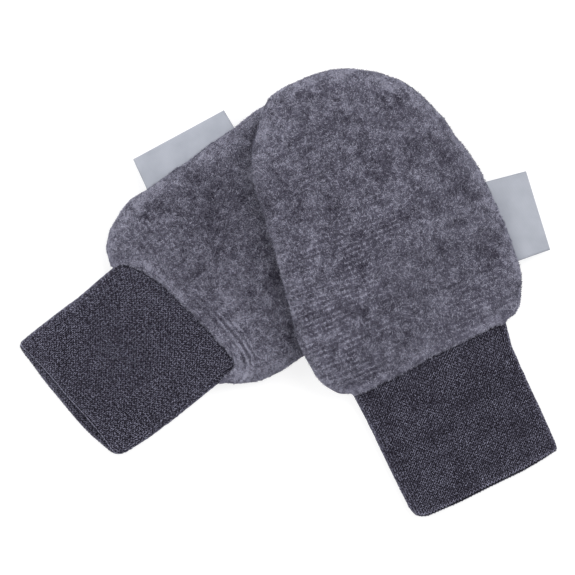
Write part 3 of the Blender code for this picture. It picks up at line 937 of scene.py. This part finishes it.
def leg_places(grid, apart):
    """Each leg's place on the grid, its side, its distance past the fold and its course."""
    closed = np.concatenate([grid, grid[:1]], axis=0)
    around = lengths_along(closed[:, CUFF_ALONG // 2])
    down = lengths_along(closed[CUFF_ACROSS // 2])
    fold = np.interp(CUFF_ALONG + FOLD_STOPS * 0.3, np.arange(len(down)), down)
    wales = int(round(around[-1] / WALE))
    courses = int(min(fold + STITCHES_INSIDE, down[-1]) / COURSE)
    wale, course = np.divmod(np.arange(wales * courses), courses)
    pitch = around[-1] / wales
    a = np.concatenate([(wale + 0.5) * pitch + side * apart for side in (-1.0, 1.0)])
    b = np.tile((course + 0.5) * COURSE, 2)
    side = np.repeat((-1.0, 1.0), len(wale))
    row = np.interp(a, around, np.arange(len(around)))
    column = np.interp(b, down, np.arange(len(down)))
    i = np.minimum(row.astype(int), len(around) - 2)
    k = np.minimum(column.astype(int), len(down) - 2)
    return closed, (i, k, row - i, column - k), side, b - fold, np.tile(course, 2)


def leg_points(closed, place, side, smooth, rng):
    """The middle of each leg on the cuff's skin, and the points of all legs."""
    count = len(side)
    centre = on_grid(closed, *place)
    up = unit(on_grid(-grid_normals(closed), *place))
    across = unit(on_grid(np.gradient(closed, axis=0), *place))
    down = unit(on_grid(np.gradient(closed, axis=1), *place))
    tilt = np.radians(side * LEG_TILT + rng.normal(0.0, LEG_TILT_VARIES, count))[:, None]
    leg_y = down * np.cos(tilt) + across * np.sin(tilt)
    size = rng.normal(1.0, LEG_SIZE_VARIES, (count, 3)) * (LEG_WIDTH, LEG_LENGTH, STITCH_HEIGHT)
    size *= 1.0 + smooth[:, None] * (0.3, 0.0, -0.6)
    local = LEG_POINTS[:, :3] * size[:, None]
    axes = np.stack([np.cross(leg_y, up), leg_y, up], axis=1)
    points = (centre + LEG_STRAYS * rng.normal(size=(count, 3)))[:, None] + local @ axes
    points[..., 2] = np.maximum(points[..., 2], 0.0)
    return centre, points


def leg_shades(mitten, centre, side, past_fold, course, smooth, rng):
    """Shades of the legs' points: a heather yarn with pale flecks; painted shade at each leg's edges, painted
    highlights on its ridge, on the lit leg and over the fold, and painted light inside the tube.
    """
    count = len(side)
    strand = np.column_stack([centre[:, 0] / 3.0, course * 0.37])
    heather = mitten.yarn + noises(HEATHER, centre, mitten)
    heather += YARN_VARIES * noise(strand, 0.9, mitten.seed + 71)
    heather += rng.normal(0.0, LEG_VARIES, count) + 0.5 * side * mitten.leg_light
    heather += FOLD_LIGHT * np.exp(-(past_fold / 0.5) ** 2) + INSIDE_LIGHT * ease(0.4, 1.2, past_fold)
    heather += np.where(rng.random(count) < PALE_SHARE, rng.uniform(*PALE_LIGHT, count), 0.0)
    fleck = mitten.flecks * rng.normal(size=(count, len(LEG_POINTS)))
    fleck += LEG_POINTS[:, 3] - fleck.mean(axis=1, keepdims=True)
    return np.clip(heather[:, None] + fleck * (1.0 - 0.6 * smooth)[:, None], 0.0, 1.0)


def jersey_stitches(mitten, grid, finish):
    """The face of the jersey: columns of V stitches all round the tube and over the fold."""
    rng = np.random.default_rng(mitten.seed + 70)
    closed, place, side, past_fold, course = leg_places(grid, mitten.leg_apart)
    smooth = np.maximum(np.exp(-(past_fold / FOLD_REACH) ** 2), ease(0.3, 1.2, past_fold))
    centre, points = leg_points(closed, place, side, smooth, rng)
    first = points.shape[1] * np.arange(len(points))[:, None, None]
    faces = (np.array(LEG_FACES) + first).reshape(-1, 3)
    piece = make_piece(mitten.name + "_cuff_stitches", in_frame(mitten, points), faces, finish)
    set_shade(piece, leg_shades(mitten, centre, side, past_fold, course, smooth, rng))
    return piece


# Labels

def label_section(mitten, share):
    """Section of the folded tape, at a share of the way up: outside, then inside."""
    low_root, high_root, low_fold, high_fold = np.array(mitten.label)
    root = low_root + share * (high_root - low_root)
    fold = low_fold + share * (high_fold - low_fold)
    outward = unit(fold - root)
    root = root - LABEL_ROOT * outward
    reach = norm(fold - root)
    arc = np.linspace(-math.pi / 2, math.pi / 2, LABEL_ROUND)
    flat = np.ones(LABEL_OUT)
    out = np.linspace(0.0, reach - TAPE / 2.0, LABEL_OUT)
    sides = []
    for radius, way in ((TAPE / 2.0, 1.0), (TAPE / 2.0 - TAPE_LAYER, -1.0)):
        distance = np.concatenate([out, out[-1] + radius * np.cos(arc), out[::-1]])
        offset = way * radius * np.concatenate([-flat, np.sin(arc), flat])
        sides.append(np.stack([distance, offset]))
    distance, offset = np.hstack(sides)
    plan = root + distance[:, None] * outward
    droop = mitten.label_droop * ease(LABEL_ROOT, 1.25 * reach, distance)
    wave = LABEL_WAVE * np.sin(3.6 * share + 0.16 * distance) * ease(LABEL_ROOT, reach, distance)
    return np.column_stack([plan, SIDE_SEAM_HEIGHT - droop + wave + offset + drape(mitten, plan)])


def label_tape(mitten, finish):
    """The folded tape: two layers from the side seam to the fold, with a slit between them."""
    grid = np.array([label_section(mitten, share) for share in np.linspace(0.0, 1.0, LABEL_ALONG)])
    rows, columns = grid.shape[:2]
    numbers = np.arange(rows * columns).reshape(rows, columns)
    faces = [grid_faces(rows, columns), strip_faces(numbers[:, -1], numbers[:, 0])]
    half = columns // 2
    for end in (0, rows - 1):
        faces.append(strip_faces(numbers[end, :half], numbers[end, :half - 1:-1]))
    piece = make_piece(mitten.name + "_label_tape", in_frame(mitten, grid), np.vstack(faces), finish)
    close_seams(piece)
    return piece


# Materials

WHITE = (1.0, 1.0, 1.0, 1.0)
SHEEN_TINT = (0.78, 0.78, 1.0, 1.0)


def set_inputs(node, values):
    for name, value in values.items():
        node.inputs[name].default_value = value


def new_material(name, roughness, sheen=0.0, specular=0.2):
    made = bpy.data.materials.new(name)
    made.use_nodes = True
    shader = made.node_tree.nodes["Principled BSDF"]
    set_inputs(shader, {"Roughness": roughness, "Specular IOR Level": specular})
    set_inputs(shader, {"Sheen Weight": sheen, "Sheen Tint": SHEEN_TINT})
    return made, made.node_tree, shader


def add_node(tree, kind, links=(), **values):
    """A shader node with its properties, and inputs linked or set by name."""
    node = tree.nodes.new("ShaderNode" + kind)
    for key, value in values.items():
        setattr(node, key, value)
    for socket, source in dict(links).items():
        if isinstance(source, bpy.types.NodeSocket):
            tree.links.new(source, node.inputs[socket])
        else:
            node.inputs[socket].default_value = source
    return node


def place_on(tree):
    return add_node(tree, "TexCoord").outputs["Object"]


def stored_shade(tree):
    return add_node(tree, "Attribute", attribute_name="shade").outputs["Fac"]


def fine_noise(tree, scale, detail=2.0):
    links = {"Vector": place_on(tree), "Scale": scale, "Detail": detail}
    return add_node(tree, "TexNoise", links).outputs["Fac"]


def scaled_sum(tree, value, scale, offset, other):
    """value * scale + offset + other."""
    scaled = add_node(tree, "Math", {0: value, 1: scale, 2: offset}, operation="MULTIPLY_ADD")
    return add_node(tree, "Math", {0: scaled.outputs[0], 1: other}, operation="ADD").outputs[0]


def paint(tree, shader, factor, stops):
    """Colours a shader by a ramp of linear colours; the first two stops are its ends."""
    ramp = add_node(tree, "ValToRGB", {"Fac": factor})
    elements = ramp.color_ramp.elements
    for index, (position, colour) in enumerate(stops):
        element = elements[index] if index < 2 else elements.new(position)
        element.position = position
        element.color = (*colour, 1.0)
    tree.links.new(ramp.outputs["Color"], shader.inputs["Base Color"])


def roughen(tree, shader, height, strength, distance):
    """Fine bumps, no higher than a distance in metres."""
    bump = add_node(tree, "Bump", {"Height": height, "Strength": strength, "Distance": distance})
    tree.links.new(bump.outputs["Normal"], shader.inputs["Normal"])


FLEECE_STOPS = ((0.0, (0.022, 0.018, 0.03)), (1.0, (0.418, 0.416, 0.512)), (0.5, (0.108, 0.104, 0.1435)))
JERSEY_STOPS = ((0.0, (0.008, 0.006, 0.012)), (1.0, (0.34, 0.34, 0.45)), (0.45, (0.062, 0.057, 0.086)))
# painted shade between the stitches: a nearly black ground
GAP_SHADE_STOPS = ((0.3, (0.003, 0.002, 0.005)), (0.8, (0.014, 0.012, 0.02)))
SATIN_STOPS = ((0.2, (0.31, 0.33, 0.38)), (0.95, (0.42, 0.44, 0.50)))
FLOOR_STOPS = ((0.0, (0.34, 0.34, 0.34)), (1.0, (0.36, 0.36, 0.36)))


def mottled_material(name, stops, roughness, sheen, scale, detail, spread, offset, strength, distance):
    """Felt or yarn: a stored shade with fine noise over it, and fine bumps."""
    made, tree, shader = new_material(name, roughness, sheen)
    fine = fine_noise(tree, scale, detail)
    paint(tree, shader, scaled_sum(tree, fine, spread, offset, stored_shade(tree)), stops)
    roughen(tree, shader, fine, strength, distance)
    return made


def pile_material():
    """Fibres whose shade runs across their map, lighter towards their tips."""
    made, tree, shader = new_material("fleece_pile", 0.9, sheen=0.35)
    uv = add_node(tree, "UVMap", uv_map=MAP).outputs["UV"]
    parts = add_node(tree, "SeparateXYZ", {"Vector": uv}).outputs
    paint(tree, shader, scaled_sum(tree, parts["Y"], 0.16, -0.08, parts["X"]), FLEECE_STOPS)
    return made


def jersey_ground_material():
    """The ground that shows between stitches, painted nearly black: painted shade in the gaps."""
    made, tree, shader = new_material("jersey_ground", 0.9)
    paint(tree, shader, fine_noise(tree, scale=2500.0), GAP_SHADE_STOPS)
    return made


def satin_material(mitten):
    """Pale satin tape, blank, with fine threads across it."""
    made, tree, shader = new_material(mitten.name + "_satin", 0.42, sheen=0.1, specular=0.35)
    links = {"Vector": place_on(tree), "Rotation": (0.0, 0.0, -math.radians(mitten.turn))}
    mapping = add_node(tree, "Mapping", links).outputs[0]
    links = {"Vector": mapping, "Scale": 900.0, "Distortion": 0.6}
    threads = add_node(tree, "TexWave", links, bands_direction="Y").outputs["Fac"]
    cloud = fine_noise(tree, scale=160.0)
    paint(tree, shader, scaled_sum(tree, threads, 0.35, 0.0, cloud), SATIN_STOPS)
    roughen(tree, shader, threads, strength=0.25, distance=0.0001)
    return made


# Putting a mitten together

PILE_COUNT = {"upper": (99000, 19500), "lower": (87000, 19500)}  # on the front, on the back
RIM_FIBRES = 1.5  # how much denser the pile is along the edge
RIM_REACH = 2.5
BACK_PILE_REACH = 3.2  # the back has pile only this far in from the edge
SHOWS_TO = 6.0  # the lower mitten has pile this far under the other


def shows(mitten, grid):
    """1 where a mitten isn't hidden under the other one, 0 where it is."""
    if mitten is UPPER:
        return np.ones(grid.shape[:2])
    return (depth_in_other(LOWER, UPPER, grid) < SHOWS_TO).astype(float)


def pile_weight(mitten, side, skin):
    """How densely the pile grows over a panel's skin; none on the part that rests."""
    weight = shows(mitten, skin.grid) * np.where(skin.edge < RIM_REACH, RIM_FIBRES, 1.0)
    weight[:, 0] *= 0.3
    return weight * (skin.edge < BACK_PILE_REACH) if side < 0 else weight


def add_hand(mitten, finishes):
    sides = ((1.0, "_hand_front"), (-1.0, "_hand_back"))
    for (side, part), count in zip(sides, PILE_COUNT[mitten.name]):
        node = mitten.name + part
        ground, skin = fleece_ground(mitten, side, finishes["ground"])
        seed = mitten.seed + (80 if side > 0 else 90)
        weight = pile_weight(mitten, side, skin)
        fibres = pile(mitten, node + "_pile", skin, weight, count, finishes["pile"], seed)
        for piece in (ground, fibres):
            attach(piece, "root")
        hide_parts(node)


def add_cuff(mitten, finishes):
    grid = cuff_skin(mitten)
    ground = cuff_ground(mitten, grid, finishes["jersey_ground"])
    stitches = jersey_stitches(mitten, grid, finishes["jersey"])
    for piece in (ground, stitches):
        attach(piece, "root")
    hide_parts(mitten.name + "_cuff")


def add_label(mitten):
    tape = label_tape(mitten, satin_material(mitten))
    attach(tape, "root")
    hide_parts(mitten.name + "_label")


# Floor, lights and camera

FLOOR_GLOW = 0.76  # so that the pair throws hardly any shadow
FLOOR_HALF = 3.0  # m, and its level is just under the pair
FLOOR_LEVEL = -0.0001
WORLD_STRENGTH = 0.6


def add_stage():
    finish, tree, shader = new_material("floor_paper", 0.9, specular=0.1)
    paint(tree, shader, fine_noise(tree, scale=60.0), FLOOR_STOPS)
    set_inputs(shader, {"Emission Color": WHITE, "Emission Strength": FLOOR_GLOW})
    signs = ((-1.0, -1.0), (1.0, -1.0), (1.0, 1.0), (-1.0, 1.0))
    corners = [(x * FLOOR_HALF, y * FLOOR_HALF, FLOOR_LEVEL) for x, y in signs]
    make_piece("floor", corners, [(0, 1, 2, 3)], finish)


def add_light(name, place, size, power):
    data = bpy.data.lights.new(name, "AREA")
    data.shape = "DISK"
    data.size = size
    data.energy = power
    light = add_object(name, data)
    light.location = place
    light.rotation_euler = (-Vector(place)).to_track_quat("-Z", "Y").to_euler()
    light.visible_camera = False


def add_studio():
    world = bpy.data.worlds.new("studio")
    world.use_nodes = True
    set_inputs(world.node_tree.nodes["Background"], {"Color": WHITE, "Strength": WORLD_STRENGTH})
    bpy.context.scene.world = world
    add_light("key", place=(0.75, 0.55, 1.3), size=1.1, power=12.5)
    add_light("fill", place=(-1.05, 0.25, 0.65), size=0.8, power=6.0)
    bpy.context.scene.view_settings.view_transform = "Standard"


PICTURE_PIXELS = 575
PIXEL = 0.30  # mm on the surface
PAIR_CENTRE = (288.0, 293.0)  # the pixel over the middle of the pair's footprint
CAMERA_HEIGHT = 2.5


def add_camera():
    """Straight above, looking down, so that the picture is 172.5 mm wide on the surface."""
    data = bpy.data.cameras.new("camera")
    data.sensor_width = 36.0
    data.lens = data.sensor_width * CAMERA_HEIGHT / (PICTURE_PIXELS * PIXEL * MM)
    data.clip_end = 10.0
    camera = add_object("camera", data)
    middle = PICTURE_PIXELS / 2.0
    aim = (middle - PAIR_CENTRE[0], PAIR_CENTRE[1] - middle)
    camera.location = (aim[0] * PIXEL * MM, aim[1] * PIXEL * MM, CAMERA_HEIGHT)
    bpy.context.scene.camera = camera


def main():
    finishes = {
        # the ground's offset paints it darker than its pile: painted shade between the fibres
        "ground": mottled_material("fleece_ground", FLEECE_STOPS, roughness=0.95, sheen=0.2, scale=1900.0,
                                   detail=3.0, spread=0.5, offset=-0.47, strength=0.5, distance=0.0002),
        "pile": pile_material(),
        "jersey_ground": jersey_ground_material(),
        "jersey": mottled_material("jersey_yarn", JERSEY_STOPS, roughness=0.85, sheen=0.15, scale=3600.0,
                                   detail=2.0, spread=0.8, offset=-0.4, strength=0.4, distance=0.0001),
    }
    for mitten in (LOWER, UPPER):
        add_hand(mitten, finishes)
        add_cuff(mitten, finishes)
        add_label(mitten)
    add_stage()
    add_studio()
    add_camera()


main()
